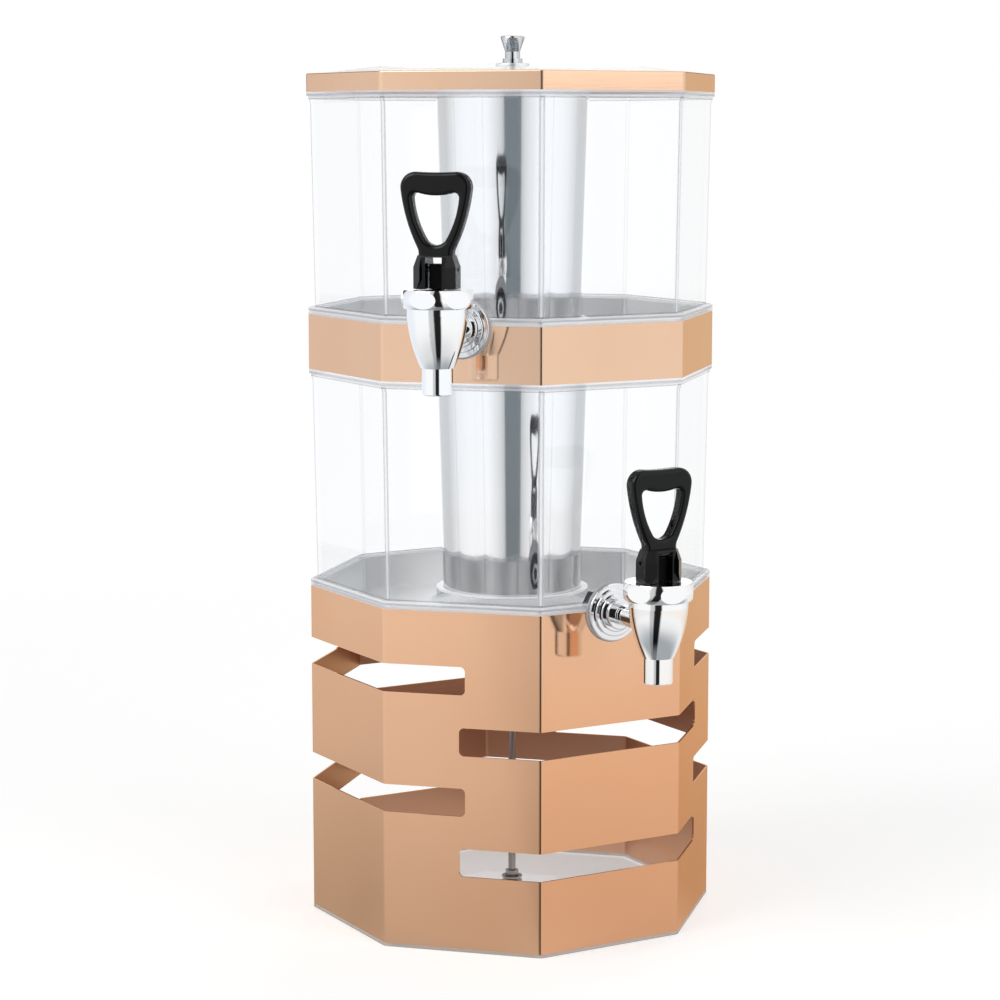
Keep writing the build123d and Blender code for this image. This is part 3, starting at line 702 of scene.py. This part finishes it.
# white studio with a dark gap in front, on the camera's side, that polished metal mirrors
studio = {
    "front": -75.06,  # azimuth of the dark gap
    "soft": 0.45,  # what matt surfaces get from all round
    "sideBlend": (-0.2, 0.2),  # how the two sides run into each other at the gap and behind
    "leftStops": [  # share of a half turn from the gap, and what metal mirrors there
        (0.0, 0.015), (0.058, 0.02), (0.085, 0.6), (0.15, 0.64), (0.182, 0.98), (0.2, 1.0), (0.45, 1.0),
        (0.62, (0.86, 0.9, 0.96)), (0.7, (0.86, 0.9, 0.96)), (0.765, 0.08), (0.8, 0.08), (0.85, 0.92),
        (1.0, 0.95)],
    "rightStops": [
        (0.0, 0.015), (0.058, 0.02), (0.092, 1.0), (0.5, 1.0), (0.7, 0.92), (0.78, (0.8, 0.74, 0.64)),
        (0.87, (0.8, 0.74, 0.64)), (0.885, 0.08), (0.915, 0.08), (0.95, 0.92), (1.0, 0.95)],
    "clearStops": [  # the same by way of a clear wall
        (0.0, (0.215, 0.25, 0.265)), (0.066, (0.215, 0.25, 0.265)), (0.078, 0.75), (0.1, 0.94), (0.15, 1.16),
        (0.23, 1.4), (0.43, 1.4), (0.52, 1.3), (0.6, 1.09), (0.68, 0.87), (0.82, 0.84), (0.9, 1.23),
        (1.0, 1.36)],
    "stripe": 0.08,  # the dark stripe on each side, left out of the mirrored floor
    "leftFloor": [  # mirrored floor, by share of the reach below: darker near the object, a painted shadow
        (0.0, (0.56, 0.54, 0.51)), (0.06, (0.62, 0.595, 0.565)), (0.2, (0.86, 0.85, 0.84)), (0.42, 1.0),
        (0.8, (1.0, 1.02, 1.04))],
    "rightFloor": [
        (0.0, (0.76, 0.65, 0.565)), (0.06, (0.79, 0.67, 0.575)), (0.2, (0.95, 0.83, 0.715)), (0.42, 1.0),
        (0.8, (1.0, 1.02, 1.04))],
    "floorReach": 3.0,
    "low": (0.6, 0.72),  # these tones come in where the floor is met at a low angle, as by the sheet metal
    "apex": (0.0526, -0.127, 0.0),  # corner that the mirrored floor's gap starts from
    "steep": (0.38, 0.405, 0.43),  # mirrored floor in front, where it is met steeply: painted grey shade
    "sheen": (0.28, 0.72),
    "ahead": (0.5, 0.75),  # how far round from the gap this grey reaches
    "beside": (0.16, 0.26),  # it starts this far from the axis
    "beyond": (0.4, 0.6),  # and loses part of its depth here
    "beyondShare": 0.55,
    "lift": (0.14, 0.3),  # the gap is lightened where the floor is met more steeply than this
    "lifted": (0.5, 0.5, 0.5),
    "floorSize": 14.0,
    "floorFade": (0.5, 1.6),  # from the shadow to plain white
    "floorGlow": (0.5, 1.0),  # near the object, and further out
    "floorColour": (0.62, 0.62, 0.62),
}


def aroundFront(start, place, spec):
    # share of a half turn from the dark gap, and which side of it
    parts = splitPlace(start, place)
    east, north = cos(radians(spec["front"])), sin(radians(spec["front"]))
    across = parts["X"] * -north + parts["Y"] * east
    along = parts["X"] * east + parts["Y"] * north
    angle = start.sum("ARCTAN2", across, along)
    return start.sum("ABSOLUTE", angle) / pi, start.sum("SINE", angle).rise(*spec["sideBlend"])


def toneRamp(start, stops, share):
    # a ramp of greys, or of colours where three numbers are given
    stops = [(place, opaque(tone if isinstance(tone, tuple) else (tone,) * 3)) for place, tone in stops]
    return start.put("ShaderNodeValToRGB", {"stops": stops}, {"Fac": share}, "Color")


def mirroredTone(start, turn, right, through, spec, striped):
    sides = []
    for side in ("leftStops", "rightStops"):
        stops = [stop for stop in spec[side] if striped or stop[1] != spec["stripe"]]
        sides.append(toneRamp(start, stops, turn))
    return through.mixColour(right.mixColour(*sides), toneRamp(start, spec["clearStops"], turn))


def seen(start):
    # a ray that shows the background, one that a surface mirrored, and one that passed a clear wall
    names = ("Is Camera Ray", "Is Glossy Ray", "Is Transmission Ray", "Glossy Depth", "Transparent Depth")
    camera, glossy, transmitted, mirrors, walls = [
        start.put("ShaderNodeLightPath", None, None, name) for name in names]
    direct = start.sum("MINIMUM", camera + glossy + transmitted, 1.0)
    return direct, start.sum("GREATER_THAN", mirrors, 0.5), start.sum("GREATER_THAN", walls, 0.5)


def studioWorld(spec):
    world = bpy.data.worlds.new("studio")
    world.use_nodes = True
    world.node_tree.nodes.clear()
    scene.world = world
    start = Wire(world.node_tree)
    direct, bounced, through = seen(start)
    turn, right = aroundFront(start, start.put("ShaderNodeTexCoord", out="Generated"), spec)
    shown = bounced.mixColour(white, mirroredTone(start, turn, right, through, spec, True))
    soft = opaque((spec["soft"],) * 3)
    light = start.put("ShaderNodeBackground", None, {"Color": direct.mixColour(soft, shown), "Strength": 1.0})
    start.put("ShaderNodeOutputWorld", None, {"Surface": light})


def floorFinish(spec):
    material, start = newFinish("paleFloor")
    place = objectPlace(start)
    reach = vectorSum(start, "LENGTH", place)
    direct, bounced, through = seen(start)

    # what the camera sees: white, with the object's shadow
    near, far = spec["floorGlow"]
    fade = reach.rise(*spec["floorFade"])
    shaded = fade.mixColour(opaque(spec["floorColour"]), black)
    matt = start.put("ShaderNodeBsdfDiffuse", None, {"Color": shaded})
    glowing = (direct * (near + fade * (far - near))).mixColour(black, white)
    glow = start.put("ShaderNodeEmission", None, {"Color": glowing, "Strength": 1.0})
    pale = start.put("ShaderNodeAddShader", None, {0: matt, 1: glow})

    # what metal mirrors, with a painted shadow near the object
    turn, right = aroundFront(start, vectorSum(start, "SUBTRACT", place, spec["apex"], out="Vector"), spec)
    slant = start.put("ShaderNodeLayerWeight", None, {"Blend": 0.5}, "Facing")
    share = reach / spec["floorReach"]
    level = right.mixColour(*(toneRamp(start, spec[side], share) for side in ("leftFloor", "rightFloor")))
    level = slant.rise(*spec["low"]).mixColour(white, level)
    steep = (1.0 - slant.rise(*spec["sheen"])) * (1.0 - turn.rise(*spec["ahead"]))
    steep = steep * reach.rise(*spec["beside"])
    steep = steep * (1.0 - reach.rise(*spec["beyond"]) * spec["beyondShare"])
    level = steep.mixColour(level, opaque(spec["steep"]))
    tone = mirroredTone(start, turn, right, through, spec, False)
    tone = (1.0 - slant.rise(*spec["lift"])).mixColour(tone, opaque(spec["lifted"]), "LIGHTEN")
    tone = start.put("ShaderNodeMix", {"data_type": "RGBA", "blend_type": "MULTIPLY"},
                     {"Factor": 1.0, "A": tone, "B": level}, "Result")
    mirrored = start.put("ShaderNodeEmission", None, {"Color": tone, "Strength": 1.0})
    closeFinish(start, start.put("ShaderNodeMixShader", None, {0: bounced, 1: pale, 2: mirrored}))
    return material


def studioFloor(spec):
    shape = bmesh.new()
    bmesh.ops.create_grid(shape, x_segments=1, y_segments=1, size=spec["floorSize"])
    mesh = bpy.data.meshes.new("floor")
    shape.to_mesh(mesh)
    shape.free()
    mesh.materials.append(floorFinish(spec))
    floor = bpy.data.objects.new("floor", mesh)
    scene.collection.objects.link(floor)


# soft lamps, of which metal mirrors the first alone
studioLamps = {
    "aim": (0.0, 0.0, 0.3),
    "size": 1.6,
    "lamps": [
        {"name": "keyLamp", "place": (-1.3, -1.5, 1.9), "watts": 24.0, "mirrored": True},
        {"name": "fillLamp", "place": (1.7, -1.0, 1.3), "watts": 14.0, "mirrored": False},
        {"name": "backLamp", "place": (0.2, 1.8, 1.7), "watts": 10.0, "mirrored": False},
    ],
}


def hangLamps(spec):
    for lamp in spec["lamps"]:
        data = bpy.data.lights.new(lamp["name"], "AREA")
        data.size = spec["size"]
        data.energy = lamp["watts"]
        piece = bpy.data.objects.new(lamp["name"], data)
        piece.location = lamp["place"]
        aim = Vector(spec["aim"]) - Vector(lamp["place"])
        piece.rotation_euler = aim.to_track_quat("-Z", "Y").to_euler()
        piece.visible_glossy = lamp["mirrored"]
        scene.collection.objects.link(piece)


studioWorld(studio)
studioFloor(studio)
hangLamps(studioLamps)
scene.view_settings.view_transform = "Standard"
scene.cycles.transparent_max_bounces = 48  # a look through both tubs crosses many clear walls
scene.cycles.glossy_bounces = 12  # deep inside the mirroring tubes
print("studio done")
